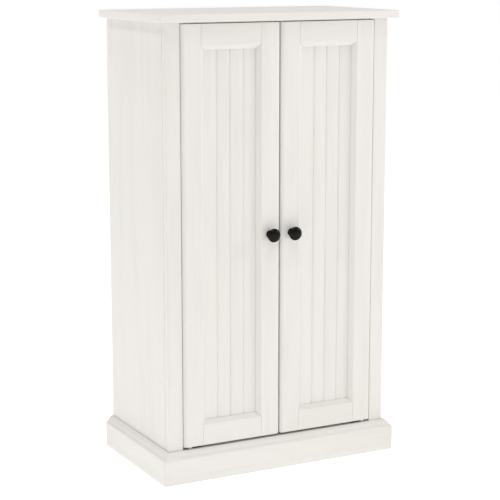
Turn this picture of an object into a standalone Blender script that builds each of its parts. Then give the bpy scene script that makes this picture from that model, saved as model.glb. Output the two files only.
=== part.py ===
"""Two-door pantry cabinet: painted wood case on a moulded plinth, with beadboard doors on pivot hinges.

Metres, +Z up. The doors face -Y. The origin is on the floor, at the centre of the cabinet's bounding box.
"""

import math

import bmesh
import bpy
from mathutils import Matrix, Vector

MM = 0.001

# Driving dimensions
WIDTH = 610 * MM              # top slab and plinth, outside
HEIGHT = 1067 * MM
TOP_DEPTH = 350 * MM          # top slab, front to back
TOP_THICK = 18 * MM
OVERHANG = 20 * MM            # slab and plinth stand out this far past the case's face
CASE_PROUD = 0.5 * MM         # and this much less past its sides
PLINTH_HEIGHT = 77 * MM
MOULD_HEIGHT = 17.5 * MM      # moulding along the top of the plinth
MOULD_QUIRK = 0.9 * MM        # small step under it
MOULD_LEDGE = 5.6 * MM        # flat ledge at its top
MOULD_ARRIS = 2 * MM          # flat between its slope and the ledge
SIDE_THICK = 15 * MM
SHELF_THICK = 15 * MM
SHELF_SET_BACK = 38 * MM      # shelves stand this far behind the case's face
SHELF_END_GAP = 0.8 * MM      # at each end of an adjustable shelf
BACK_THICK = 3 * MM
BACK_INSET = 5.2 * MM         # back panel's front, from the back of the case
BACK_BELOW_FLOOR = 40 * MM
SLAB_EASE = 2 * MM            # corners taken off the boards
POST_EASE = 1.2 * MM
BOARD_EASE = 0.8 * MM
POST_WIDTH = 36 * MM
POST_THICK = 18 * MM
RAIL_THICK = 18 * MM
RAIL_HEIGHT = 44.7 * MM
HEAD_LIP = 2.4 * MM           # how far the head rail shows below the top slab
STOP_BEHIND_POSTS = 10 * MM   # room for the doors' back corners as they swing
CATCH_SIZE = (52 * MM, 28 * MM, 13 * MM)
CATCH_BELOW_RAIL = 0.3 * MM
STRIKE_THICK = 1 * MM
STRIKE_WIDTH = 18 * MM
STRIKE_HEIGHT = 12 * MM
STRIKE_FROM_EDGE = 4 * MM

DOOR_THICK = 20 * MM
DOOR_PROUD = 5 * MM           # the doors' faces stand in front of the posts
DOOR_SIDE_GAP = 0.9 * MM
DOOR_MEETING_GAP = 3 * MM
DOOR_TOP_GAP = 1.3 * MM
DOOR_BOTTOM_GAP = 6 * MM
DOOR_EDGE_WIDE = 9.5 * MM     # rounded outer edge of a door: across its face
DOOR_EDGE_DEEP = 7.5 * MM     # and back from it
MEMBER_FLAT = 48 * MM         # flat face of a stile or rail
STICKING = 10 * MM            # sloped inner edge of a stile or rail
PANEL_SET_BACK = 11 * MM      # door face to panel face
PANEL_THICK = 5.2 * MM
GROOVE_DEPTH = 6 * MM         # how far the panel enters its frame
BEAD_PITCH = 33.5 * MM        # between two V grooves in a panel
BEAD_WIDTH = 5 * MM
BEAD_DEPTH = 2 * MM

KNOB_REACH = 28 * MM
KNOB_HEAD_R = 16 * MM
KNOB_RIM = 7.5 * MM           # crown back to the widest point
KNOB_UNDER = 12.5 * MM        # crown back to the neck
KNOB_NECK_R = 5.5 * MM
KNOB_FOOT_R = 9.5 * MM
KNOB_BORE_R = 2.2 * MM
SCREW_R = 1.8 * MM
SCREW_HEAD_R = 3.8 * MM
SCREW_HEAD_THICK = 2.6 * MM
SCREW_HOLE_R = 2.4 * MM
SCREW_INTO_KNOB = 4 * MM
KNOB_FROM_CENTRE = 28 * MM
KNOB_Z = 563 * MM

PIVOT_FROM_EDGE = 18 * MM     # door's outer edge to the hinge axis
PIVOT_FROM_FACE = 10 * MM     # door's face to the hinge axis
PIVOT_PIN_R = 2.4 * MM
PIVOT_BORE_R = 3.0 * MM
PIVOT_PIN_LENGTH = 10 * MM
WASHER_R = 5.5 * MM
PLATE_THICK = 1 * MM
PLATE_WIDTH = 13 * MM
PLATE_LENGTH = 34 * MM

GLIDE_HEIGHT = 3 * MM
GLIDE_R = 7 * MM
GLIDE_FROM_FRONT = 9 * MM
GLIDE_FROM_BACK = 17 * MM

PIN_HOLE_R = 2.7 * MM
PIN_HOLE_DEPTH = 9 * MM
PIN_HOLE_PITCH = 32 * MM
PIN_HOLES = 5                 # positions for each adjustable shelf
PIN_SHANK_R = 2.1 * MM
PIN_HEAD_R = 2.6 * MM
PIN_HEAD_LENGTH = 8 * MM
PIN_END_GAP = 1 * MM          # between a shank's tip and the bottom of its hole
PIN_ROW_INSET = 32 * MM       # from a shelf's front and back edges

GAP = 0.3 * MM                # left between two pieces that touch
OVERCUT = 5 * MM              # how far a cutter runs past the piece it cuts
MITRE_REACH = 120 * MM
SMOOTH_BELOW = math.radians(30)

# Places worked out from them
DOOR_FACE_FROM_TOP = OVERHANG - DOOR_PROUD
TOTAL_DEPTH = TOP_DEPTH - DOOR_FACE_FROM_TOP + KNOB_REACH
BACK_Y = TOTAL_DEPTH / 2
TOP_FRONT_Y = BACK_Y - TOP_DEPTH
CASE_FRONT_Y = TOP_FRONT_Y + OVERHANG
POST_BACK_Y = CASE_FRONT_Y + POST_THICK
DOOR_FACE_Y = CASE_FRONT_Y - DOOR_PROUD
DOOR_BACK_Y = DOOR_FACE_Y + DOOR_THICK
CASE_HALF = WIDTH / 2 - OVERHANG + CASE_PROUD
SIDE_INNER = CASE_HALF - SIDE_THICK
OPENING_HALF = CASE_HALF - POST_WIDTH
TOP_UNDER_Z = HEIGHT - TOP_THICK
DOOR_LOW_Z = PLINTH_HEIGHT + DOOR_BOTTOM_GAP
HEAD_LIP_Z = TOP_UNDER_Z - HEAD_LIP
DOOR_HIGH_Z = HEAD_LIP_Z - DOOR_TOP_GAP
DOOR_OUTER = OPENING_HALF - DOOR_SIDE_GAP
DOOR_INNER = DOOR_MEETING_GAP / 2
PIVOT_X = DOOR_OUTER - PIVOT_FROM_EDGE
PIVOT_Y = DOOR_FACE_Y + PIVOT_FROM_FACE
BACK_PANEL_FRONT_Y = BACK_Y - BACK_INSET
SHELF_FRONT_Y = CASE_FRONT_Y + SHELF_SET_BACK
SHELF_BACK_Y = BACK_PANEL_FRONT_Y - GAP
FIXED_SHELF_Z = 548 * MM      # undersides of the shelves
LOWER_SHELF_Z = 305 * MM
UPPER_SHELF_Z = 798 * MM
PIN_ROWS_Y = (SHELF_FRONT_Y + PIN_ROW_INSET, SHELF_BACK_Y - PIN_ROW_INSET)
CATCH_Z = TOP_UNDER_Z - GAP - RAIL_HEIGHT - CATCH_BELOW_RAIL - CATCH_SIZE[2] / 2
SIDES = (("left", -1), ("right", 1))


# Scene, materials and small tools

def clear_scene():
    for old in list(bpy.data.objects):
        bpy.data.objects.remove(old)


def new_collection(name):
    made = bpy.data.collections.new(name)
    bpy.context.scene.collection.children.link(made)
    return made


def principled(name, colour, roughness, metallic=0.0):
    made = bpy.data.materials.new(name)
    made.use_nodes = True
    shader = made.node_tree.nodes["Principled BSDF"]
    shader.inputs["Base Color"].default_value = (*colour, 1.0)
    shader.inputs["Roughness"].default_value = roughness
    shader.inputs["Metallic"].default_value = metallic
    return made


clear_scene()
CABINET = new_collection("pantry_cabinet")
CUTTERS = new_collection("cutters")
CUTTERS.hide_render = True
PAINT = principled("white_paint", (0.83, 0.81, 0.78), 0.45)
LINING = principled("white_board", (0.84, 0.82, 0.79), 0.5)
BRONZE = principled("dark_bronze", (0.03, 0.025, 0.02), 0.35, 0.8)
STEEL = principled("zinc_plated_steel", (0.62, 0.62, 0.6), 0.35, 1.0)
NYLON = principled("white_nylon", (0.78, 0.78, 0.75), 0.5)


def smoothed(mesh):
    """Shades a mesh smooth, apart from the edges where it turns sharply."""
    mesh.shade_smooth()
    mesh.set_sharp_from_angle(angle=SMOOTH_BELOW)
    return mesh


def place(name, mesh, location, material, parent=None):
    """A mesh object in the cabinet's collection, kept in place under its parent."""
    made = bpy.data.objects.new(name, mesh)
    made.location = location
    if material:
        mesh.materials.append(material)
    CABINET.objects.link(made)
    if parent:
        made.parent = parent
        made.location = Vector(location) - parent.location
    return made


def as_cutter(made):
    CABINET.objects.unlink(made)
    CUTTERS.objects.link(made)
    made.hide_render = True
    made.display_type = "WIRE"
    return made


def cut(target, *cutters):
    for cutter in cutters:
        step = target.modifiers.new("cut", "BOOLEAN")
        step.operation = "DIFFERENCE"
        step.solver = "EXACT"
        step.object = cutter


def ease(target, width, segments=1):
    """Takes the sharpness off a board's edges."""
    step = target.modifiers.new("ease", "BEVEL")
    step.width = width
    step.segments = segments
    step.limit_method = "ANGLE"
    step.angle_limit = math.radians(50)


def board(name, low, high, material, eased=0.0, parent=None):
    """A flat rectangular board between two corners."""
    size = [b - a for a, b in zip(low, high)]
    middle = [(a + b) / 2 for a, b in zip(low, high)]
    shape = bmesh.new()
    bmesh.ops.create_cube(shape, size=1.0, matrix=Matrix.Diagonal((*size, 1.0)))
    mesh = bpy.data.meshes.new(name)
    shape.to_mesh(mesh)
    shape.free()
    made = place(name, mesh, middle, material, parent)
    if eased:
        ease(made, eased)
    return made


def rod(name, radius, length, location, along, material, sides=12):
    """A round bar centred at location, along Y or Z."""
    turn = {"Y": Matrix.Rotation(math.pi / 2, 4, "X"), "Z": Matrix()}
    shape = bmesh.new()
    bmesh.ops.create_cone(shape, cap_ends=True, segments=sides, radius1=radius, radius2=radius,
                          depth=length, matrix=turn[along])
    mesh = bpy.data.meshes.new(name)
    shape.to_mesh(mesh)
    shape.free()
    return place(name, smoothed(mesh), location, material)


# A swept outline lies in the two axes that its key leaves out, and runs along the key.
SWEEP = {
    "Z": Matrix(),
    "X": Matrix(((0, 0, 1), (1, 0, 0), (0, 1, 0))).to_4x4(),   # outline is (y, z)
    "Y": Matrix(((1, 0, 0), (0, 0, -1), (0, 1, 0))).to_4x4(),  # outline is (x, z)
}


def swept(name, outline, along, low, high, material, parent=None):
    """A 2D outline, swept straight from low to high along one axis, as a closed mesh."""
    curve = bpy.data.curves.new(name + "_outline", "CURVE")
    curve.dimensions = "2D"
    curve.fill_mode = "BOTH"
    curve.extrude = (high - low) / 2
    spline = curve.splines.new("POLY")
    spline.points.add(len(outline) - 1)
    for point, (a, b) in zip(spline.points, outline):
        point.co = (a, b, 0, 1)
    spline.use_cyclic_u = True
    guide = bpy.data.objects.new(name + "_outline", curve)
    bpy.context.scene.collection.objects.link(guide)
    graph = bpy.context.evaluated_depsgraph_get()
    mesh = bpy.data.meshes.new_from_object(guide.evaluated_get(graph))
    bpy.data.objects.remove(guide)
    mesh.name = name
    mesh.materials.clear()
    shape = bmesh.new()
    shape.from_mesh(mesh)
    bmesh.ops.remove_doubles(shape, verts=shape.verts, dist=0.01 * MM)
    bmesh.ops.transform(shape, matrix=SWEEP[along], verts=shape.verts)
    bmesh.ops.dissolve_limit(shape, angle_limit=math.radians(0.5), verts=shape.verts, edges=shape.edges)
    bmesh.ops.recalc_face_normals(shape, faces=shape.faces)
    shape.to_mesh(mesh)
    shape.free()
    middle = (low + high) / 2
    location = {"X": (middle, 0, 0), "Y": (0, middle, 0), "Z": (0, 0, middle)}[along]
    return place(name, smoothed(mesh), location, material, parent)


def turned(name, profile, location, material, steps=16, parent=None, along="-Y"):
    """A turned piece. The profile is (radius, height) from the top down, closed on the axis at both ends."""
    turn = {"-Y": Matrix.Rotation(math.pi / 2, 4, "X"), "-X": Matrix.Rotation(-math.pi / 2, 4, "Y"),
            "X": Matrix.Rotation(math.pi / 2, 4, "Y")}
    shape = bmesh.new()
    points = [shape.verts.new((radius, 0, height)) for radius, height in profile]
    edges = [shape.edges.new(pair) for pair in zip(points, points[1:])]
    bmesh.ops.spin(shape, geom=points + edges, axis=(0, 0, 1), angle=math.tau, steps=steps)
    bmesh.ops.remove_doubles(shape, verts=shape.verts, dist=0.01 * MM)
    bmesh.ops.recalc_face_normals(shape, faces=shape.faces)
    bmesh.ops.transform(shape, matrix=turn[along], verts=shape.verts)
    mesh = bpy.data.meshes.new(name)
    shape.to_mesh(mesh)
    shape.free()
    return place(name, smoothed(mesh), location, material, parent)


def axis_empty(name, x, y):
    made = bpy.data.objects.new(name, None)
    made.location = (x, y, 0)
    CABINET.objects.link(made)
    return made


# Plinth: three moulded boards mitred at the front corners, and a plain rail at the back

def plinth_outline():
    """(outwards, up) from the case's face: the plain face, a small quirk, a chamfer and a flat ledge."""
    out = OVERHANG - CASE_PROUD
    low, high = PLINTH_HEIGHT - MOULD_HEIGHT, PLINTH_HEIGHT
    quirk = out - MOULD_QUIRK
    return [
        (GAP, GLIDE_HEIGHT),
        (out, GLIDE_HEIGHT),
        (out, low),
        (quirk, low + MOULD_QUIRK),
        (quirk, low + 2 * MOULD_QUIRK),
        (MOULD_LEDGE + MOULD_ARRIS, high - MOULD_ARRIS),
        (MOULD_LEDGE, high),
        (GAP, high),
    ]


def mitre_cutter(name, side, towards_side):
    """A tall block beyond the 45 degree plane through a front corner of the case, on its side or front."""
    corner = Vector((side * CASE_HALF, CASE_FRONT_Y, PLINTH_HEIGHT / 2))
    made = board(name, (-MITRE_REACH,) * 3, (MITRE_REACH,) * 3, None)
    direction = Vector((side, 1, 0)).normalized()
    if not towards_side:
        direction = -direction
    made.location = corner + direction * (MITRE_REACH - GAP / 2)
    made.rotation_euler = (0, 0, math.atan2(direction.y, direction.x))
    return as_cutter(made)


def build_plinth():
    front = [(CASE_FRONT_Y - out, up) for out, up in plinth_outline()]
    made = swept("plinth_front", front, "X", -WIDTH / 2, WIDTH / 2, PAINT)
    cut(made, *[mitre_cutter(f"front_mitre_{label}", side, True) for label, side in SIDES])
    for label, side in SIDES:
        outline = [(side * (CASE_HALF + out), up) for out, up in plinth_outline()]
        made = swept(f"plinth_{label}", outline, "Y", CASE_FRONT_Y - OVERHANG, BACK_Y, PAINT)
        cut(made, mitre_cutter(f"side_mitre_{label}", side, False))
    board("plinth_back", (-SIDE_INNER + GAP, SHELF_BACK_Y - RAIL_THICK, GLIDE_HEIGHT),
          (SIDE_INNER - GAP, SHELF_BACK_Y, PLINTH_HEIGHT - SHELF_THICK - GAP), PAINT)
    for label, side in SIDES:
        for end, y in (("front", CASE_FRONT_Y + GLIDE_FROM_FRONT), ("back", BACK_Y - GLIDE_FROM_BACK)):
            middle = (side * (CASE_HALF - SIDE_THICK / 2), y, (GLIDE_HEIGHT - GAP) / 2)
            rod(f"glide_{end}_{label}", GLIDE_R, GLIDE_HEIGHT - GAP, middle, "Z", NYLON, 16)


# Case: sides, posts, rails, floor, back, top and shelves

def pin_rows():
    """Heights of the shelf pins' axes, one for each adjustable shelf."""
    return [z - GAP - PIN_HEAD_R for z in (LOWER_SHELF_Z, UPPER_SHELF_Z)]


def build_side(label, side):
    outer, inner = side * CASE_HALF, side * SIDE_INNER
    low = (min(outer, inner), POST_BACK_Y + GAP, GLIDE_HEIGHT)
    high = (max(outer, inner), BACK_Y, TOP_UNDER_Z - GAP)
    panel = board(f"side_panel_{label}", low, high, PAINT)
    # Drilled for shelf pins: a front and a back column for each adjustable shelf
    holes = bmesh.new()
    length = 2 * PIN_HOLE_DEPTH
    across = Matrix.Rotation(math.pi / 2, 4, "Y")
    for z in pin_rows():
        for y in PIN_ROWS_Y:
            for step in range(PIN_HOLES):
                rise = (step - PIN_HOLES // 2) * PIN_HOLE_PITCH
                spot = Matrix.Translation((0, y, z + rise)) @ across
                bmesh.ops.create_cone(holes, cap_ends=True, segments=8, radius1=PIN_HOLE_R,
                                      radius2=PIN_HOLE_R, depth=length, matrix=spot)
    mesh = bpy.data.meshes.new(f"pin_holes_{label}")
    holes.to_mesh(mesh)
    holes.free()
    cut(panel, as_cutter(place(f"pin_holes_{label}", mesh, (inner, 0, 0), None)))


def build_post(label, side):
    edges = sorted((side * CASE_HALF, side * OPENING_HALF))
    board(f"front_post_{label}", (edges[0], CASE_FRONT_Y, GLIDE_HEIGHT),
          (edges[1], POST_BACK_Y, TOP_UNDER_Z - GAP), PAINT, eased=POST_EASE)


def build_floor():
    """Bottom panel, notched round the two posts."""
    wide, narrow = SIDE_INNER - GAP, OPENING_HALF - GAP
    front, notch, back = CASE_FRONT_Y + GAP, POST_BACK_Y + GAP, SHELF_BACK_Y
    half = [(narrow, front), (narrow, notch), (wide, notch), (wide, back)]
    outline = half + [(-x, y) for x, y in reversed(half)]
    swept("bottom_panel", outline, "Z", PLINTH_HEIGHT - SHELF_THICK, PLINTH_HEIGHT, LINING)


def build_head_rail(low, high):
    """Rail between the posts, rebated over the doors: a thin lip above them and a deep stop behind them."""
    stop = POST_BACK_Y + STOP_BEHIND_POSTS
    back = stop + RAIL_THICK
    outline = [(CASE_FRONT_Y, HEAD_LIP_Z), (stop, HEAD_LIP_Z), (stop, low), (back, low), (back, high),
               (CASE_FRONT_Y, high)]
    rail = swept("head_rail", outline, "X", -OPENING_HALF + GAP, OPENING_HALF - GAP, PAINT)
    for label, side in SIDES:
        low, high = HEAD_LIP_Z - OVERCUT, HEAD_LIP_Z + PLATE_THICK + GAP
        cut(rail, plate_recess(f"{label}_head_recess", side, low, high))


def build_shelf(name, z, side_gap):
    half = SIDE_INNER - side_gap
    board(name, (-half, SHELF_FRONT_Y, z), (half, SHELF_BACK_Y, z + SHELF_THICK), LINING, BOARD_EASE)


def plate_recess(name, side, low, high):
    """A block a little larger than a pivot's plate, to let the plate into a board."""
    half = PLATE_WIDTH / 2 + GAP
    span = sorted((side * (PIVOT_X + half), side * (PIVOT_X - PLATE_LENGTH + PLATE_WIDTH / 2 - GAP)))
    block = board(name, (span[0], PIVOT_Y - half, low), (span[1], PIVOT_Y + half, high), None)
    return as_cutter(block)


def build_pins():
    """Four steel pins under each adjustable shelf, each a thin shank in the side and a thicker head."""
    head, shank = PIN_HEAD_LENGTH, PIN_HOLE_DEPTH - PIN_END_GAP
    profile = [(0, head), (PIN_HEAD_R, head), (PIN_HEAD_R, 0),
               (PIN_SHANK_R, 0), (PIN_SHANK_R, -shank), (0, -shank)]
    for shelf, z in zip(("lower", "upper"), pin_rows()):
        for label, side in SIDES:
            for end, y in zip(("front", "back"), PIN_ROWS_Y):
                seat = (side * (SIDE_INNER - GAP), y, z)
                towards = "-X" if side > 0 else "X"
                turned(f"{shelf}_pin_{end}_{label}", profile, seat, STEEL, 8, None, towards)


def build_case():
    for label, side in SIDES:
        build_side(label, side)
        build_post(label, side)
    build_floor()
    across = SIDE_INNER - GAP
    board("back_panel", (-across, BACK_PANEL_FRONT_Y, PLINTH_HEIGHT - BACK_BELOW_FLOOR),
          (across, BACK_PANEL_FRONT_Y + BACK_THICK, TOP_UNDER_Z - GAP), LINING)
    rail_low, rail_high = TOP_UNDER_Z - GAP - RAIL_HEIGHT, TOP_UNDER_Z - GAP
    board("top_rail_back", (-across, SHELF_BACK_Y - RAIL_THICK, rail_low),
          (across, SHELF_BACK_Y, rail_high), LINING)
    build_head_rail(rail_low, rail_high)
    board("top_slab", (-WIDTH / 2, TOP_FRONT_Y, TOP_UNDER_Z), (WIDTH / 2, BACK_Y, HEIGHT), PAINT, SLAB_EASE)
    build_shelf("fixed_shelf", FIXED_SHELF_Z, GAP)
    for name, z in (("lower_shelf", LOWER_SHELF_Z), ("upper_shelf", UPPER_SHELF_Z)):
        build_shelf(name, z, SHELF_END_GAP)
    build_pins()


# Doors: four framing members round a grooved panel

def member_outline(outer_edge):
    """(across, deep) of a stile or rail: its outer edge, a sloped inner edge, and the panel's groove."""
    lip = MEMBER_FLAT + STICKING
    groove = lip - GROOVE_DEPTH
    return [
        *outer_edge,
        (MEMBER_FLAT, 0),
        (lip, PANEL_SET_BACK - 1.3 * MM),
        (lip, PANEL_SET_BACK - GAP),
        (groove, PANEL_SET_BACK - GAP),
        (groove, PANEL_SET_BACK + PANEL_THICK + GAP),
        (lip, PANEL_SET_BACK + PANEL_THICK + GAP),
        (lip, DOOR_THICK),
        (0, DOOR_THICK),
    ]


def rounded_edge():
    """A quarter ellipse, from the side of a stile round to its face."""
    turns = [math.radians(step * 22.5) for step in range(5)]
    return [(DOOR_EDGE_WIDE * (1 - math.cos(a)), DOOR_EDGE_DEEP * (1 - math.sin(a))) for a in turns]


def corner_cutter(name, outline):
    """A block through the door's thickness that takes away one end of a member's sloped edge."""
    made = swept(name, outline, "Y", DOOR_FACE_Y - DOOR_THICK, DOOR_BACK_Y + DOOR_THICK, None)
    return as_cutter(made)


def build_stile(name, edge, inward, material, parent):
    """An upright member. Its sloped edge stops at a mitre at each rail, where the stile is square-edged."""
    members = member_outline(rounded_edge())
    outline = [(edge + inward * across, DOOR_FACE_Y + deep) for across, deep in members]
    stile = swept(name, outline, "Z", DOOR_LOW_Z, DOOR_HIGH_Z, material, parent)
    face = edge + inward * MEMBER_FLAT
    far = face + inward * 2 * STICKING
    for end, z, up in (("low", DOOR_LOW_Z, 1), ("high", DOOR_HIGH_Z, -1)):
        mitre = z + up * MEMBER_FLAT
        beyond = z - up * OVERCUT
        block = [(face, beyond), (far, beyond), (far, mitre + up * 2 * STICKING), (face, mitre)]
        cut(stile, corner_cutter(f"{name}_{end}_mitre", block))
    return stile


def build_rail(name, left, right, z, up, material, parent):
    """A cross member between the stiles' square edges, mitred where its sloped edge meets theirs."""
    outline = [(DOOR_FACE_Y + deep, z + up * across) for across, deep in member_outline([(0, 0)])]
    left, right = left + MEMBER_FLAT + GAP, right - MEMBER_FLAT - GAP
    rail = swept(name, outline, "X", left, right, material, parent)
    base, tip = z + up * MEMBER_FLAT, z + up * (MEMBER_FLAT + 2 * STICKING)
    for end, x, inward in (("left", left, 1), ("right", right, -1)):
        past = x - inward * OVERCUT
        block = [(past, base), (x, base), (x + inward * 2 * STICKING, tip), (past, tip)]
        cut(rail, corner_cutter(f"{name}_{end}_mitre", block))
    return rail


def panel_outline(left, right):
    """(x, y) of the beadboard panel: three V grooves down its face."""
    face, back = DOOR_FACE_Y + PANEL_SET_BACK, DOOR_FACE_Y + PANEL_SET_BACK + PANEL_THICK
    middle = (left + right) / 2
    points = [(left, face)]
    for step in (-1, 0, 1):
        x = middle + step * BEAD_PITCH
        points += [(x - BEAD_WIDTH / 2, face), (x, face + BEAD_DEPTH), (x + BEAD_WIDTH / 2, face)]
    return points + [(right, face), (right, back), (left, back)]


def knob_profile():
    """(radius, height) down from the crown: domed head, narrow neck, flared foot."""
    crown, rim, under = KNOB_REACH, KNOB_REACH - KNOB_RIM, KNOB_REACH - KNOB_UNDER
    turns = [math.radians(degrees) for degrees in (0, 25, 50, 72, 90)]
    dome = [(KNOB_HEAD_R * math.sin(a), rim + KNOB_RIM * math.cos(a)) for a in turns]
    dome[0] = (0, crown)
    head = [*dome, (KNOB_HEAD_R - 1 * MM, rim - 2.6 * MM), (KNOB_NECK_R + 2 * MM, under)]
    neck = [(KNOB_NECK_R, under - 3 * MM), (KNOB_NECK_R, 7 * MM)]
    foot = [(KNOB_FOOT_R - 1.2 * MM, 3 * MM), (KNOB_FOOT_R, 1.8 * MM), (KNOB_FOOT_R, GAP), (0, GAP)]
    return head + neck + foot


def screw_profile(reach):
    """(radius, height) of the knob's screw: a pan head behind the door, then the shank."""
    head = -SCREW_HEAD_THICK
    return [(0, reach), (SCREW_R, reach), (SCREW_R, 0), (SCREW_HEAD_R, 0), (SCREW_HEAD_R, head + 1 * MM),
            (SCREW_HEAD_R - 1.2 * MM, head), (0, head)]


def plate_outline(inward):
    """(x, y) round the hinge axis: a strip with a round end by the pin, running towards the middle."""
    half = PLATE_WIDTH / 2
    turns = [math.radians(90 + 30 * k) for k in range(7)]
    nose = [(half * math.cos(a), half * math.sin(a)) for a in turns]
    tail = PLATE_LENGTH - half
    return [(inward * x, y) for x, y in [*nose, (tail, -half), (tail, half)]]


def build_door(label, side):
    """One door and everything that swings with it. side is -1 for the left door."""
    axis = axis_empty(f"{label}_door_axis", side * PIVOT_X, PIVOT_Y)
    outer, inner = side * DOOR_OUTER, side * DOOR_INNER
    left, right = sorted((outer, inner))
    hinge_stile = build_stile(f"{label}_door_hinge_stile", outer, -side, PAINT, axis)
    meeting_stile = build_stile(f"{label}_door_meeting_stile", inner, side, PAINT, axis)
    build_rail(f"{label}_door_top_rail", left, right, DOOR_HIGH_Z, -1, PAINT, axis)
    build_rail(f"{label}_door_bottom_rail", left, right, DOOR_LOW_Z, 1, PAINT, axis)
    tuck = MEMBER_FLAT + STICKING - GROOVE_DEPTH + GAP
    outline = panel_outline(left + tuck, right - tuck)
    swept(f"{label}_door_panel", outline, "Z", DOOR_LOW_Z + tuck, DOOR_HIGH_Z - tuck, PAINT, axis)

    knob_x = side * KNOB_FROM_CENTRE
    knob_seat = (knob_x, DOOR_FACE_Y, KNOB_Z)
    knob = turned(f"{label}_knob", knob_profile(), knob_seat, BRONZE, 20, axis)
    bore_length = 2 * (SCREW_INTO_KNOB + 2 * MM)
    bore = rod(f"{label}_knob_bore", KNOB_BORE_R, bore_length, knob_seat, "Y", None)
    cut(knob, as_cutter(bore))
    through = rod(f"{label}_screw_hole", SCREW_HOLE_R, 2 * DOOR_THICK, knob_seat, "Y", None)
    cut(meeting_stile, as_cutter(through))
    screw_seat = (knob_x, DOOR_BACK_Y + GAP, KNOB_Z)
    turned(f"{label}_knob_screw", screw_profile(DOOR_THICK + SCREW_INTO_KNOB), screw_seat, STEEL, 12, axis)

    near = inner + side * STRIKE_FROM_EDGE
    strike_x = sorted((near, near + side * STRIKE_WIDTH))
    board(f"{label}_strike_plate", (strike_x[0], DOOR_BACK_Y + GAP, CATCH_Z - STRIKE_HEIGHT / 2),
          (strike_x[1], DOOR_BACK_Y + GAP + STRIKE_THICK, CATCH_Z + STRIKE_HEIGHT / 2), STEEL, 0, axis)

    for end, door_z, up in (("top", DOOR_HIGH_Z, 1), ("bottom", DOOR_LOW_Z, -1)):
        build_pivot(label, side, end, door_z, up, hinge_stile, axis)


def build_pivot(label, side, end, door_z, up, stile, axis):
    """A pivot hinge: plate and pin on the case, washer, and a bored plate let into the end of the stile."""
    name = f"{label}_{end}_pivot"
    outline = [(side * PIVOT_X + x, PIVOT_Y + y) for x, y in plate_outline(-side)]
    if up > 0:      # let into the head rail, flush
        plate_far = HEAD_LIP_Z + PLATE_THICK
    else:           # laid on the bottom panel
        plate_far = PLINTH_HEIGHT + GAP
    plate_near = plate_far - up * PLATE_THICK
    case_plate = swept(f"{name}_case_plate", outline, "Z", *sorted((plate_near, plate_far)), STEEL)
    root, tip = plate_far - up * PLATE_THICK / 2, door_z - up * PIVOT_PIN_LENGTH
    pin = pivot_rod(f"{name}_pin", side, PIVOT_PIN_R, root, tip)
    join = case_plate.modifiers.new("pin", "BOOLEAN")
    join.operation = "UNION"
    join.solver = "EXACT"
    join.object = as_cutter(pin)

    bore = as_cutter(pivot_rod(f"{name}_bore", side, PIVOT_BORE_R, door_z - 30 * MM, door_z + 30 * MM))
    washer = pivot_rod(f"{name}_washer", side, WASHER_R, plate_near - up * GAP, door_z + up * GAP, NYLON, 16)
    cut(washer, bore)

    span = sorted((door_z, door_z - up * PLATE_THICK))
    door_plate = swept(f"{name}_door_plate", outline, "Z", *span, STEEL, axis)
    cut(door_plate, bore)
    depth = sorted((door_z + up * OVERCUT, door_z - up * (PLATE_THICK + GAP)))
    bottom = door_z - up * (PIVOT_PIN_LENGTH + 2 * MM)
    socket = pivot_rod(f"{name}_socket", side, PIVOT_BORE_R, door_z, bottom)
    cut(stile, plate_recess(f"{name}_recess", side, *depth), as_cutter(socket))


def pivot_rod(name, side, radius, start, end, material=None, sides=12):
    """A round bar on a door's hinge axis, between two heights."""
    middle = (side * PIVOT_X, PIVOT_Y, (start + end) / 2)
    return rod(name, radius, abs(end - start), middle, "Z", material, sides)


def build_catch():
    """Double magnetic catch under the head rail, facing both strike plates."""
    wide, deep, high = CATCH_SIZE
    front = DOOR_BACK_Y + 2 * GAP + STRIKE_THICK
    board("magnetic_catch", (-wide / 2, front, CATCH_Z - high / 2),
          (wide / 2, front + deep, CATCH_Z + high / 2), NYLON, BOARD_EASE)


build_plinth()
build_case()
for door_label, door_side in SIDES:
    build_door(door_label, door_side)
build_catch()
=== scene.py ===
import math

import bmesh
import bpy
import numpy as np
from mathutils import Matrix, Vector


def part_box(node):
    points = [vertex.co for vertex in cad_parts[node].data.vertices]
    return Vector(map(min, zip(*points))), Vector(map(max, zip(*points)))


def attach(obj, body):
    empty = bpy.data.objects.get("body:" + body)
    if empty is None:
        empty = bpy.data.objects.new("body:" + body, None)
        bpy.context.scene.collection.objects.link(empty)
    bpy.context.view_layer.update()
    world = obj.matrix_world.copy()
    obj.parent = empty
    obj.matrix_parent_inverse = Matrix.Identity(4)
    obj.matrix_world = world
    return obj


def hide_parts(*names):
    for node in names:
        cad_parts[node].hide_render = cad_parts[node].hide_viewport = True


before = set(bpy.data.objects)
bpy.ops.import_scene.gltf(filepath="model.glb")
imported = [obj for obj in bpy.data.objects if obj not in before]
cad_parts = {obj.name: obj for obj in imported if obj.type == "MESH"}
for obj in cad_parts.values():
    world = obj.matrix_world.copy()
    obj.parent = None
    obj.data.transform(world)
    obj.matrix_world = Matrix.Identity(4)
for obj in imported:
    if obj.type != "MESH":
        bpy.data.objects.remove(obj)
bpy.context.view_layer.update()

mm = 0.001
sides = {"left": -1, "right": 1}


def box(node):
    # lowest and highest corner of a CAD node, as arrays
    low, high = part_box(node)
    return np.array(low), np.array(high)


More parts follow.
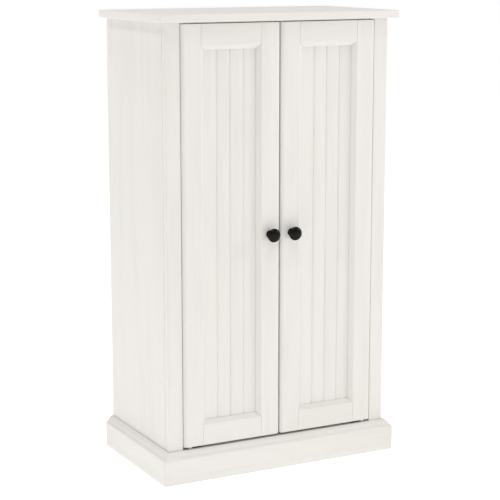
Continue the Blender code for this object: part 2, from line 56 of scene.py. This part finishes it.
# A wrapped shader socket, with the arithmetic that the finishes need
class Wire:
    def __init__(self, tree, socket):
        self.tree = tree
        self.socket = socket

    def node(self, kind, settings=None, **inputs):
        # adds any node: settings first, then values or links by socket name ("_" stands for a space) or by
        # socket number (n0, n1 and so on)
        made = self.tree.nodes.new(kind)
        for key, value in (settings or {}).items():
            if key == "stops":
                ramp = made.color_ramp
                while len(ramp.elements) > len(value):
                    ramp.elements.remove(ramp.elements[-1])
                for i, (place, tone) in enumerate(value):
                    stop = ramp.elements[i] if i < len(ramp.elements) else ramp.elements.new(place)
                    stop.position = place
                    stop.color = (*tone, 1)
            else:
                setattr(made, key, value)
        for key, value in inputs.items():
            name = key.replace("_", " ")
            numbered = name[0] == "n" and name[1:].isdigit()
            target = made.inputs[int(name[1:]) if numbered else name]
            if isinstance(value, Wire):
                self.tree.links.new(value.socket, target)
            else:
                target.default_value = value
        return made

    def out(self, kind, settings=None, result=0, **inputs):
        return Wire(self.tree, self.node(kind, settings, **inputs).outputs[result])

    def math(self, operation, other, swap=False):
        first, second = (other, self) if swap else (self, other)
        return self.out("ShaderNodeMath", {"operation": operation}, n0=first, n1=second)

    def __add__(self, other):
        return self.math("ADD", other)

    def __sub__(self, other):
        return self.math("SUBTRACT", other)

    def __rsub__(self, other):
        return self.math("SUBTRACT", other, True)

    def __mul__(self, other):
        return self.math("MULTIPLY", other)

    __radd__ = __add__
    __rmul__ = __mul__

    def ramp(self, *stops):
        # a colour for each place that the value passes
        return self.out("ShaderNodeValToRGB", {"stops": stops}, Fac=self)

    def fit(self, low, high, newLow=0.0, newHigh=1.0):
        # smooth step from newLow to newHigh as the value goes from low to high
        return self.out("ShaderNodeMapRange", {"interpolation_type": "SMOOTHSTEP"}, Value=self,
                        From_Min=low, From_Max=high, To_Min=newLow, To_Max=newHigh)

    def tint(self, other, factor):
        # mixes this colour with a plain one by a factor
        return self.out("ShaderNodeMix", {"data_type": "RGBA"}, 2, n0=factor, n6=self, n7=(*other, 1))


def finish(name, roughness=0.5, metallic=0.0, **constants):
    # an empty principled finish, with its constants on the sockets, and the object coordinates
    made = bpy.data.materials.new(name)
    made.use_nodes = True
    tree = made.node_tree
    shader = tree.nodes["Principled BSDF"]
    shader.inputs["Roughness"].default_value = roughness
    shader.inputs["Metallic"].default_value = metallic
    for key, value in constants.items():
        shader.inputs[key.replace("_", " ")].default_value = value
    where = Wire(tree, tree.nodes.new("ShaderNodeTexCoord").outputs["Object"])
    return made, shader, where


def plug(wire, shader, name):
    wire.tree.links.new(wire.socket, shader.inputs[name])


def stretched(where, along, size, across=1.0):
    # object coordinates scaled so that a pattern is drawn out along one axis
    scale = [size * across] * 3
    scale["XYZ".index(along)] = size
    return where.out("ShaderNodeMapping", None, Vector=where, Scale=scale)


def noise(vector, scale, detail=3.0, roughness=0.5, distortion=0.0):
    return vector.out("ShaderNodeTexNoise", None, Vector=vector, Scale=scale, Detail=detail,
                      Roughness=roughness, Distortion=distortion)


def emboss(height, shader, strength, distance):
    # bends the normal by a height
    bump = height.out("ShaderNodeBump", None, Height=height, Strength=strength, Distance=distance)
    plug(bump, shader, "Normal")


# Finishes

paintLook = {
    "body": (0.76, 0.737, 0.702),        # warm white brushed paint
    "cream": (0.745, 0.713, 0.662),      # where it lies thicker
    "cool": (0.745, 0.741, 0.724),       # where it lies thinner
    "shade": (0.665, 0.642, 0.605),      # along broad strokes of the brush
    "grainTone": (0.65, 0.624, 0.576),   # in the open grain
    "roughness": 0.42,
    "strokeHeight": 0.16,
    "grainHeight": 0.22,
}


def paintedWood(along, look=paintLook):
    # white paint brushed along one axis over open-grained wood
    made, shader, where = finish(f"brushedPaint{along}", look["roughness"], Specular_IOR_Level=0.42)
    drawn = stretched(where, along, 1.0, 26.0)
    strokes = noise(drawn, 22.0, 5.0, 0.62, 0.25)
    fine = noise(stretched(where, along, 1.0, 60.0), 34.0, 3.0, 0.6)
    clouds = noise(where, 4.5, 3.0, 0.5)
    grain = noise(stretched(where, along, 1.0, 18.0), 9.0, 6.0, 0.7, 0.8)
    openGrain = grain.fit(0.60, 0.72) * fine.fit(0.45, 0.6)
    tone = strokes.ramp((0.0, look["cool"]), (0.5, look["body"]), (1.0, look["cream"]))
    tone = tone.tint(look["cream"], clouds.fit(0.5, 0.75) * 0.5)
    bands = noise(stretched(where, along, 1.0, 11.0), 3.0, 2.0, 0.5)
    brushed = noise(stretched(where, along, 1.0, 15.0), 9.0, 3.0, 0.6)
    tone = tone.tint(look["shade"], bands.fit(0.42, 0.66) * 0.22 + brushed.fit(0.5, 0.72) * 0.2)
    tone = tone.tint(look["grainTone"], openGrain * 0.22)
    plug(tone, shader, "Base Color")
    plug(strokes * 0.16 + (clouds - 0.5) * 0.12 + (look["roughness"] - 0.07), shader, "Roughness")
    height = strokes * look["strokeHeight"] + fine * 0.10 - openGrain * look["grainHeight"]
    emboss(height, shader, 0.35, 0.0006)
    return made


boardLook = {
    "body": (0.75, 0.727, 0.69),
    "dull": (0.715, 0.69, 0.65),
    "roughness": 0.5,
}


def sprayedBoard(look=boardLook):
    # smoother sprayed paint on the shelves and the lining, with a fine orange peel
    made, shader, where = finish("sprayedBoard", look["roughness"], Specular_IOR_Level=0.4)
    clouds = noise(where, 5.0, 4.0, 0.55)
    peel = noise(where, 520.0, 2.0, 0.5)
    specks = noise(where, 160.0, 2.0, 0.6)
    tone = clouds.ramp((0.35, look["dull"]), (0.65, look["body"]))
    plug(tone.tint(look["dull"], specks.fit(0.62, 0.7) * 0.35), shader, "Base Color")
    plug(clouds * 0.14 + (look["roughness"] - 0.07), shader, "Roughness")
    emboss(peel * 0.5 + specks * 0.2, shader, 0.18, 0.0003)
    return made


bronzeLook = {
    "body": (0.002, 0.0016, 0.0012),
    "rubbed": (0.012, 0.008, 0.005),
    "roughness": 0.34,
    "lacquer": (0.28, 0.2),     # coat weight on the dark metal, and where it is rubbed
    "lacquerRoughness": 0.13,
    "specular": 0.03,
}


def darkBronze(look=bronzeLook):
    # near-black bronze, rubbed a little browner in soft patches
    made, shader, where = finish("darkBronze", look["roughness"], Coat_Roughness=look["lacquerRoughness"],
                                 Specular_IOR_Level=look["specular"])
    patches = noise(where, 190.0, 4.0, 0.6)
    specks = noise(where, 900.0, 2.0, 0.5)
    plug(patches.ramp((0.42, look["body"]), (0.8, look["rubbed"])), shader, "Base Color")
    plug(patches * 0.18 + specks * 0.08 + (look["roughness"] - 0.12), shader, "Roughness")
    plug(patches.fit(0.3, 0.8, *look["lacquer"]), shader, "Coat Weight")
    emboss(specks * 0.3 + patches * 0.7, shader, 0.3, 0.0004)
    return made


steelLook = {"body": (0.60, 0.60, 0.58), "dull": (0.42, 0.42, 0.41), "roughness": 0.32}


def zincSteel(look=steelLook):
    # bright zinc plate, with dull spots and fine scratches
    made, shader, where = finish("zincPlatedSteel", look["roughness"], 1.0)
    spots = noise(where, 180.0, 4.0, 0.65)
    lines = noise(stretched(where, "X", 40.0, 30.0), 26.0, 2.0, 0.5)
    plug(spots.ramp((0.35, look["dull"]), (0.62, look["body"])), shader, "Base Color")
    plug(spots * 0.25 + (look["roughness"] - 0.1), shader, "Roughness")
    emboss(lines * 0.5 + spots * 0.4, shader, 0.12, 0.0002)
    return made


nylonLook = {"body": (0.74, 0.73, 0.69), "dull": (0.66, 0.65, 0.61), "roughness": 0.45}


def whiteNylon(look=nylonLook):
    # moulded nylon: soft mottling and a fine sandblasted skin
    made, shader, where = finish("whiteNylon", look["roughness"], Specular_IOR_Level=0.45)
    mottle = noise(where, 90.0, 3.0, 0.5)
    skin = noise(where, 1500.0, 2.0, 0.5)
    plug(mottle.ramp((0.3, look["dull"]), (0.7, look["body"])), shader, "Base Color")
    plug(mottle * 0.1 + (look["roughness"] - 0.05), shader, "Roughness")
    emboss(skin, shader, 0.15, 0.0002)
    return made


paintUp, paintAcross, paintDeep = (paintedWood(axis) for axis in "ZXY")
board, bronze, steel, nylon = sprayedBoard(), darkBronze(), zincSteel(), whiteNylon()
print("finishes made")


# Pieces: surfaces on grids, and profiles carried along a line

def addPiece(name, points, faces, material, body, replaced=(), bevel=0.0, sharp=30):
    # a mesh piece at the origin, eased by a bevel and shaded smooth except at its sharp edges
    mesh = bpy.data.meshes.new(name)
    mesh.from_pydata(np.asarray(points).reshape(-1, 3), [], faces)
    shape = bmesh.new()
    shape.from_mesh(mesh)
    bmesh.ops.delete(shape, geom=[v for v in shape.verts if not v.link_faces], context="VERTS")
    bmesh.ops.remove_doubles(shape, verts=shape.verts, dist=0.01 * mm)
    bmesh.ops.recalc_face_normals(shape, faces=shape.faces)
    shape.to_mesh(mesh)
    shape.free()
    made = bpy.data.objects.new(name, mesh)
    bpy.context.scene.collection.objects.link(made)
    mesh.materials.append(material)
    mesh.shade_smooth()
    if bevel:
        step = made.modifiers.new("ease", "BEVEL")
        step.width = bevel
        step.segments = 3
        step.limit_method = "ANGLE"
        step.angle_limit = math.radians(sharp)
        step.harden_normals = True
    else:
        mesh.set_sharp_from_angle(angle=math.radians(sharp))
    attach(made, body)
    if replaced:
        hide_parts(*replaced)
    return made


def gridFaces(rows, columns, closed):
    # quads between the rows of a rows x columns grid of points, closed round the columns or open
    row, column = np.meshgrid(np.arange(rows - 1), np.arange(columns - (0 if closed else 1)), indexing="ij")
    a = row * columns + column
    b = row * columns + (column + 1) % columns
    return np.stack([a, b, b + columns, a + columns], -1).reshape(-1, 4).tolist()


def easedBoard(name, low, high, ease, material, body, replaced=(), steps=4):
    # a box with rounded edges: each point of its faces is drawn to a box that is smaller by the radius, and
    # pushed out again from there by the radius
    low, high = np.array(low), np.array(high)
    near = ease * (1 - np.tan(np.linspace(math.pi / 4, 0, steps + 1)))
    lines = [np.concatenate([low[k] + near, high[k] - near[::-1]]) for k in range(3)]
    points, faces, offset = [], [], 0
    for k in range(3):
        u, v = [a for a in range(3) if a != k]
        gu, gv = np.meshgrid(lines[u], lines[v], indexing="ij")
        for value in (low[k], high[k]):
            patch = np.full((*gu.shape, 3), value)
            patch[..., u], patch[..., v] = gu, gv
            points.append(patch.reshape(-1, 3))
            faces += (np.array(gridFaces(*gu.shape, False)) + offset).tolist()
            offset += gu.size
    points = np.concatenate(points)
    core = np.clip(points, low + ease, high - ease)
    away = points - core
    points = core + away / np.linalg.norm(away, axis=1, keepdims=True) * ease
    return addPiece(name, points, faces, material, body, replaced, sharp=40)


axes = {"X": (1, 2, 0), "Y": (0, 2, 1), "Z": (0, 1, 2)}   # a profile's two axes, and the one it runs along


def carried(name, profile, along, starts, ends, material, body, replaced=(), bevel=0.0):
    # a closed profile carried along one axis, from each point's own start to its own end
    first, second, run = axes[along]
    profile = np.array(profile)
    count = len(profile)
    points = np.zeros((2, count, 3))
    points[:, :, first] = profile[:, 0]
    points[:, :, second] = profile[:, 1]
    points[0, :, run] = starts
    points[1, :, run] = ends
    faces = gridFaces(2, count, True) + [list(range(count)), list(range(count, 2 * count))]
    return addPiece(name, points, faces, material, body, replaced, bevel)


def turned(name, profile, centre, axis, material, body, replaced, segments, sharp=35):
    # a profile of (radius, reach) turned round an axis through centre, closed at both ends on the axis
    radius, reach = np.array(profile).T
    angle = np.arange(segments) / segments * 2 * math.pi
    forward = np.array(axis, float)
    right = np.cross(forward, (0, 0, 1) if abs(forward[2]) < 0.9 else (1, 0, 0))
    up = np.cross(right, forward)
    points = (np.array(centre) + reach[:, None, None] * forward
              + radius[:, None, None] * (np.cos(angle)[:, None] * right + np.sin(angle)[:, None] * up))
    faces = gridFaces(len(radius), segments, True)
    return addPiece(name, points, faces, material, body, replaced, 0, sharp)


def arc(middle, across, up, start, end, steps):
    # points of an ellipse from one angle to another, in degrees
    angle = np.radians(np.linspace(start, end, steps + 1))
    return list(zip(middle[0] + across * np.cos(angle), middle[1] + up * np.sin(angle)))


# Case

steelSlot, nylonSlot = "zinc_plated_steel", "white_nylon"

caseLook = {
    "slabEase": 2.4 * mm,
    "postEase": 1.6 * mm,
    "shelfEase": 1.2 * mm,
    "plinthEase": 0.6 * mm,
    "thinBoard": 4,      # a thin board's ease is at most this part of its thickness
}

slabLow, slabHigh = box("top_slab")
easedBoard("topSlab", slabLow, slabHigh, caseLook["slabEase"], paintAcross, "carcass",
           ["top_slab"])
for label in sides:
    low, high = box(f"front_post_{label}")
    easedBoard(f"frontPost_{label}", low, high, caseLook["postEase"], paintUp, "carcass",
               [f"front_post_{label}"])
for node in ("fixed_shelf", "lower_shelf", "upper_shelf", "top_rail_back", "back_panel"):
    low, high = box(node)
    ease = min(caseLook["shelfEase"], (high - low).min() / caseLook["thinBoard"])
    easedBoard(f"board_{node}", low, high, ease, board, "carcass", [node])
low, high = box("plinth_back")
easedBoard("plinthBack", low, high, caseLook["shelfEase"], paintAcross, "carcass",
           ["plinth_back"])

postLow, postHigh = box("front_post_right")
caseHalf, caseFront = postHigh[0], postLow[1]

plinthShape = {
    "gap": 0.3 * mm,           # from the case
    "ledge": 6.0 * mm,
    "ledgeEase": 1.5 * mm,
    "ledgeDrop": 1.6 * mm,
    "chamferDrop": 14.0 * mm,
    "chamferPoints": 13,
    "swell": 0.9 * mm,
    "swellShare": 0.7,
    "quirk": 1.0 * mm,
    "quirkDrop": 2.2,          # in quirks
    "joint": 0.15 * mm,
}


def plinthProfile(shape):
    # (out, up) from the case: ledge, S-shaped chamfer that swells and then hollows, quirk, plain face
    low, high = box("plinth_front")
    gap, out = shape["gap"], caseFront - low[1]
    t = np.linspace(0, 1, shape["chamferPoints"])
    foot = out - shape["quirk"]
    across = shape["ledge"] + (foot - shape["ledge"]) * t
    down = shape["ledgeDrop"] + (shape["chamferDrop"] - shape["ledgeDrop"]) * t
    push = shape["swell"] * np.sin(2 * math.pi * t) * shape["swellShare"]
    chamfer = np.stack([across + push, high[2] - down + push], -1)
    base = high[2] - shape["chamferDrop"]
    faceTop = base - shape["quirkDrop"] * shape["quirk"]
    rest = [(foot, base - shape["quirk"]), (out, faceTop), (out, low[2]), (gap, low[2])]
    return np.array([(gap, high[2]), (shape["ledge"] - shape["ledgeEase"], high[2]), *chamfer, *rest])


def plinth(shape=plinthShape):
    # three moulded boards, mitred at the front corners
    out, up = plinthProfile(shape).T
    joint = shape["joint"]
    reach = caseHalf + out - joint
    carried("plinthFront", np.stack([caseFront - out, up], -1), "X", -reach, reach, paintAcross,
            "carcass", ["plinth_front"], caseLook["plinthEase"])
    back = box("plinth_left")[1][1]
    for label, side in sides.items():
        carried(f"plinthSide_{label}", np.stack([side * (caseHalf + out), up], -1), "Y",
                caseFront - out + joint, np.full(len(out), back), paintDeep, "carcass",
                [f"plinth_{label}"], caseLook["plinthEase"])


plinth()

pinShape = {"head": 2.6 * mm, "shank": 2.1 * mm, "tipEase": 0.5 * mm, "shoulder": 0.2 * mm, "segments": 24}


def shelfPins(shape=pinShape):
    # straight pins with an eased head, two at each end of an adjustable shelf
    head, shank, ease, shoulder = shape["head"], shape["shank"], shape["tipEase"], shape["shoulder"]
    for shelf in ("lower", "upper"):
        for end in ("front", "back"):
            for label, side in sides.items():
                node = f"{shelf}_pin_{end}_{label}"
                low, high = box(node)
                centre = (low + high) / 2
                length = (high[0] - low[0]) / 2
                profile = [(0, length), (head - ease, length), (head, length - ease), (head, shoulder),
                           (head - shoulder, 0), (shank, 0), (shank, -length), (0, -length)]
                turned(f"shelfPin_{shelf}_{end}_{label}", profile, centre, (-side, 0, 0), steel, "carcass",
                       [node], shape["segments"])


shelfPins()
print("case made")


# Doors

doorShape = {
    "flat": 48 * mm,         # flat width of a stile or rail
    "sticking": 10 * mm,     # sloped inner edge
    "edgeWide": 9.5 * mm,    # rounded outer edge of a stile, across and back
    "edgeDeep": 7.5 * mm,
    "setBack": 11 * mm,      # door face to panel face
    "stickingEdge": 1.3 * mm,
    "gap": 0.3 * mm,         # round the panel
    "panel": 5.2 * mm,
    "groove": 6 * mm,
    "ease": 0.5 * mm,
    "beads": 3,
    "beadPitch": 33.5 * mm,
    "beadWide": 5.0 * mm,
    "beadDeep": 2.0 * mm,
    "beadLip": 0.5 * mm,
    "beadLipDrop": 0.15 * mm,
    "beadRoot": 0.2 * mm,    # half the flat at the bottom of a groove
    "edgePoints": 8,
}


def memberProfile(outer, thick, shape=doorShape):
    # (across, deep) of a stile or rail; the points up to the flat's width come first and last
    flat, gap = shape["flat"], shape["gap"]
    lip = flat + shape["sticking"]
    panelFront, panelBack = shape["setBack"] - gap, shape["setBack"] + shape["panel"] + gap
    inner = lip - shape["groove"]
    slope = [(lip, shape["setBack"] - shape["stickingEdge"]), (lip, panelFront), (inner, panelFront),
             (inner, panelBack), (lip, panelBack), (lip, thick)]
    front = [*outer, (flat, 0)]
    back = [(flat, thick), (0, thick)]
    return np.array([*front, *slope, *back]), len(front), len(slope)


def doorMember(profile, front, slope, low, high, step):
    # the profile from low to high, its sloped edge cut back to a mitre at both ends.
    # A stile's square part runs on past the mitre by the width of the rail (step); a rail's does not.
    count = len(profile)
    across = profile[:, 0]
    cutBack = np.maximum(0, across - doorShape["flat"])
    runs = np.stack([np.full(count, low), low + step + cutBack, high - step - cutBack, np.full(count, high)])
    points = np.stack([np.tile(across, (4, 1)), np.tile(profile[:, 1], (4, 1)), runs], -1)
    last, first = front - 1, front + slope          # the two columns at the edge of the square part
    square = [*range(first, count), *range(front)]
    sloped = [*range(last, first + 1)]
    between = (np.array(gridFaces(2, count, True)) + count).tolist()
    faces = between + [[row * count + i for i in sloped] for row in (1, 2)]
    if not step:
        return points, faces + [[row * count + i for i in square] for row in (1, 2)]
    loop = list(zip(square, square[1:] + square[:1]))
    for row in (0, 2):
        near, far = row * count, (row + 1) * count
        faces += [[near + i, near + j, far + j, far + i] for i, j in loop]
    return points, faces + [[row * count + i for i in square] for row in (0, 3)]


def stile(node, side, inward, body):
    low, high = box(node)
    thick = high[1] - low[1]
    edge = low[0] if inward > 0 else high[0]
    wide, deep = doorShape["edgeWide"], doorShape["edgeDeep"]
    outer = arc((wide, deep), -wide, -deep, 0, 90, doorShape["edgePoints"])
    points, faces = doorMember(*memberProfile(outer, thick), low[2], high[2], doorShape["flat"])
    across, back, run = np.moveaxis(points, -1, 0)
    place = np.stack([edge + inward * across, low[1] + back, run], -1)
    addPiece(f"board_{node}", place, faces, paintUp, body, [node], doorShape["ease"])


def rail(node, up, body):
    low, high = box(node)
    edge = low[2] if up > 0 else high[2]
    points, faces = doorMember(*memberProfile([(0, 0)], high[1] - low[1]), low[0], high[0], 0)
    across, back, run = np.moveaxis(points, -1, 0)
    place = np.stack([run, low[1] + back, edge + up * across], -1)
    addPiece(f"board_{node}", place, faces, paintAcross, body, [node], doorShape["ease"])


def panel(node, body, shape=doorShape):
    # a thin board with V grooves down its face, their lips a little rounded
    low, high = box(node)
    middle = (low[0] + high[0]) / 2
    half = shape["beadWide"] / 2
    face, deep, lip, root = low[1], low[1] + shape["beadDeep"], shape["beadLip"], shape["beadRoot"]
    lipDrop = face + shape["beadLipDrop"]
    profile = [(low[0], face)]
    for k in range(shape["beads"]):
        x = middle + (k - (shape["beads"] - 1) / 2) * shape["beadPitch"]
        profile += [(x - half - lip, face), (x - half, lipDrop), (x - root, deep)]
        profile += [(x + root, deep), (x + half, lipDrop), (x + half + lip, face)]
    profile += [(high[0], low[1]), (high[0], high[1]), (low[0], high[1])]
    carried(f"board_{node}", profile, "Z", low[2], high[2], paintUp, body, [node])


knobShape = {
    "head": 16 * mm,
    "neck": 5.5 * mm,
    "foot": 9.5 * mm,
    "footHigh": 2.0 * mm,
    "rim": 7.5 * mm,         # height of the dome
    "rimRound": 3.4 * mm,
    "ring": 0.3 * mm,        # depth of the ring cut in the dome, its place and its width in head radii
    "ringAt": 0.9,
    "ringWide": 0.03,
    "waistRound": 5.0 * mm,
    "waistDrop": 8.4 * mm,
    "flareRound": 3.2 * mm,
    "flareAt": 5.6 * mm,
    "domePoints": 31,
    "segments": 72,
}


def knob(label, shape=knobShape):
    # turned from the crown down: domed face with a ring cut in it, rounded rim, waist, flared foot
    low, high = box(f"{label}_knob")
    centre = np.array([(low[0] + high[0]) / 2, high[1], (low[2] + high[2]) / 2])
    reach = high[1] - low[1]
    rimAt = reach - shape["rim"]
    angle = np.radians(np.linspace(0, 90, shape["domePoints"]))
    radius = shape["head"] * np.sin(angle)
    height = rimAt + shape["rim"] * np.cos(angle)
    height -= shape["ring"] * np.exp(-((radius / shape["head"] - shape["ringAt"]) / shape["ringWide"]) ** 2)
    dome = list(zip(radius, height))
    rim, hollow, flared = shape["rimRound"], shape["waistRound"], shape["flareRound"]
    under = arc((shape["head"] - rim, rimAt), rim, rim, -8, -90, 8)
    waist = arc((shape["neck"] + hollow, rimAt - shape["waistDrop"]), -hollow, hollow, 90, 0, 8)
    flare = arc((shape["neck"] + flared, shape["flareAt"]), -flared, -flared, 0, 90, 6)
    foot = [(shape["foot"], shape["footHigh"]), (shape["foot"], 0.0), (0, 0.0)]
    turned(f"knob_{label}", [*dome, *under, *waist, *flare, *foot], centre, (0, -1, 0), bronze,
           f"{label}_door", [f"{label}_knob"], shape["segments"], 40)


screwShape = {
    "rings": 14,
    "spokes": 48,
    "crown": 0.55,       # share of the height that falls away evenly; the rest falls at the rim
    "slotWide": 0.13,    # half a slot's width and length, in radii, and its floor's share of the height
    "slotLong": 0.55,
    "slotFloor": 0.35,
}


def screwHead(centre, axis, size, height, shape=screwShape):
    # a domed head with a cross cut in it: the dome's height falls with the square of the radius, faster at
    # the rim, and drops inside the two slots
    rings, spokes, crown = shape["rings"], shape["spokes"], shape["crown"]
    radius = np.linspace(0, 1, rings)[:, None]
    angle = np.arange(spokes)[None, :] / spokes * 2 * math.pi
    x, y = radius * np.cos(angle), radius * np.sin(angle)
    rise = height * (1 - crown * radius ** 2 - (1 - crown) * radius ** 10)
    nearer, farther = np.minimum(abs(x), abs(y)), np.maximum(abs(x), abs(y))
    slot = (nearer < shape["slotWide"]) & (farther < shape["slotLong"])
    rise = np.where(slot, height * shape["slotFloor"], rise * np.ones_like(x))
    forward = np.array(axis, float)
    right = np.cross(forward, (0, 0, 1))
    up = np.cross(right, forward)
    disc = size * (x[..., None] * right + y[..., None] * up)
    points = np.array(centre) + rise[..., None] * forward + disc
    skirt = np.array(centre) + disc[-1:]
    points = np.concatenate([points, skirt])
    faces = gridFaces(rings + 1, spokes, True) + [[rings * spokes + i for i in range(spokes)]]
    return points.reshape(-1, 3), faces


def screwHeads(name, centres, axis, size, height, material, body):
    points, faces, offset = [], [], 0
    for centre in centres:
        some, quads = screwHead(centre, axis, size, height)
        points.append(some)
        faces += [[i + offset for i in face] for face in quads]
        offset += len(some)
    return addPiece(name, np.concatenate(points), faces, material, body, sharp=40)


for label, side in sides.items():
    body = f"{label}_door"
    stile(f"{label}_door_hinge_stile", side, -side, body)
    stile(f"{label}_door_meeting_stile", side, side, body)
    rail(f"{label}_door_top_rail", -1, body)
    rail(f"{label}_door_bottom_rail", 1, body)
    panel(f"{label}_door_panel", body)
    knob(label)
print("doors made")


# Small fittings

fittingShape = {
    "strikeScrew": 2.2 * mm,
    "strikeRise": 0.7 * mm,
    "strikeAt": (0.22, 0.78),    # shares of the plate's length
    "backScrew": 3.2 * mm,
    "backRise": 1.2 * mm,
    "backInset": 9 * mm,
    "backRows": 6,
    "backFoot": 55 * mm,         # lowest and highest screw, from the panel's ends
    "backHead": 25 * mm,
    "backTop": (-130 * mm, 0, 130 * mm),
}


def fittings(shape=fittingShape):
    # two screws in each strike plate, and screws up both sides of the back panel and along its top
    for label, side in sides.items():
        low, high = box(f"{label}_strike_plate")
        middle = (low[2] + high[2]) / 2
        places = [(low[0] * a + high[0] * (1 - a), high[1], middle) for a in shape["strikeAt"]]
        screwHeads(f"strikeScrews_{label}", places, (0, 1, 0), shape["strikeScrew"], shape["strikeRise"],
                   steel, f"{label}_door")
    low, high = box("back_panel")
    inset = shape["backInset"]
    heights = np.linspace(low[2] + shape["backFoot"], high[2] - shape["backHead"], shape["backRows"])
    places = [(x, high[1], z) for x in (low[0] + inset, high[0] - inset) for z in heights]
    places += [(x, high[1], high[2] - inset) for x in shape["backTop"]]
    screwHeads("backScrews", places, (0, 1, 0), shape["backScrew"], shape["backRise"], steel, "carcass")


fittings()

# CAD nodes that stay as they are get their finishes
for node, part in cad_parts.items():
    if node.startswith("side_panel"):
        finishOf = paintUp
    elif node == "head_rail":
        finishOf = paintAcross
    elif node == "bottom_panel":
        finishOf = board
    elif node.startswith("glide") or node == "magnetic_catch" or node.endswith("washer"):
        finishOf = nylon
    else:
        finishOf = steel
    for slotOf in part.material_slots:
        slotOf.material = finishOf
print("fittings made")


# Floor, light and camera

studio = {
    "floorSize": 60.0,
    "floorTone": (0.93, 0.93, 0.93),
    "floorLight": (0.94, 0.94, 0.94),
    "floorGlow": 0.52,
    "world": 1.0,
    "overhead": 0.5,
    "horizon": (0.11, 0.18),     # where the white ends and the overhead tone begins
    "aim": (0, 0, 0.5),
}
lamps = {
    "keyLight": {"place": (3.0, -1.7, 2.2), "size": 0.7, "power": 30.0},
    "sideLight": {"place": (-2.4, 1.7, 3.9), "size": 0.6, "power": 40.0},
    "topLight": {"place": (-0.5, -1.3, 4.8), "size": 2.0, "power": 60.0},
}

floorMesh = bpy.data.meshes.new("floor")
half = studio["floorSize"]
corners = [(-half, -half, 0), (half, -half, 0), (half, half, 0), (-half, half, 0)]
floorMesh.from_pydata(corners, [], [(0, 1, 2, 3)])
floor = bpy.data.objects.new("floor", floorMesh)
bpy.context.scene.collection.objects.link(floor)
floorFinish, floorShader, floorWhere = finish("paleFloor", 0.7, Specular_IOR_Level=0.1)
floorTone = noise(floorWhere, 0.6, 2.0).ramp((0.3, studio["floorTone"]), (0.7, studio["floorLight"]))
plug(floorTone, floorShader, "Base Color")
floorShader.inputs["Emission Color"].default_value = (1, 1, 1, 1)
floorShader.inputs["Emission Strength"].default_value = studio["floorGlow"]
floorMesh.materials.append(floorFinish)

world = bpy.data.worlds.new("studio")
bpy.context.scene.world = world
world.use_nodes = True
background = world.node_tree.nodes["Background"]
background.inputs["Strength"].default_value = studio["world"]
# white all round at eye level, and dimmer overhead
direction = Wire(world.node_tree, world.node_tree.nodes.new("ShaderNodeTexCoord").outputs["Generated"])
height = direction.out("ShaderNodeSeparateXYZ", result=2, Vector=direction)
plug(height.fit(*studio["horizon"], 1.0, studio["overhead"]), background, "Color")
bpy.context.scene.view_settings.view_transform = "Standard"


def areaLight(name, place, size, power):
    data = bpy.data.lights.new(name, "AREA")
    data.shape = "SQUARE"
    data.size = size
    data.energy = power
    lamp = bpy.data.objects.new(name, data)
    lamp.location = place
    lamp.rotation_euler = (Vector(studio["aim"]) - Vector(place)).to_track_quat("-Z", "Y").to_euler()
    bpy.context.scene.collection.objects.link(lamp)


for name, lampShape in lamps.items():
    areaLight(name, **lampShape)

camera = {"azimuth": -27.56, "pitch": 10.89, "lens": 111.8, "sensor": 36.0, "farthest": 200.0,
          "place": (-1.692, -3.243, 1.201)}
cameraData = bpy.data.cameras.new("camera")
cameraData.lens = camera["lens"]
cameraData.sensor_width = camera["sensor"]
cameraData.clip_end = camera["farthest"]
cameraObject = bpy.data.objects.new("camera", cameraData)
cameraObject.location = camera["place"]
cameraObject.rotation_euler = (math.radians(90 - camera["pitch"]), 0, math.radians(camera["azimuth"]))
bpy.context.scene.collection.objects.link(cameraObject)
bpy.context.scene.camera = cameraObject

print("scene made")
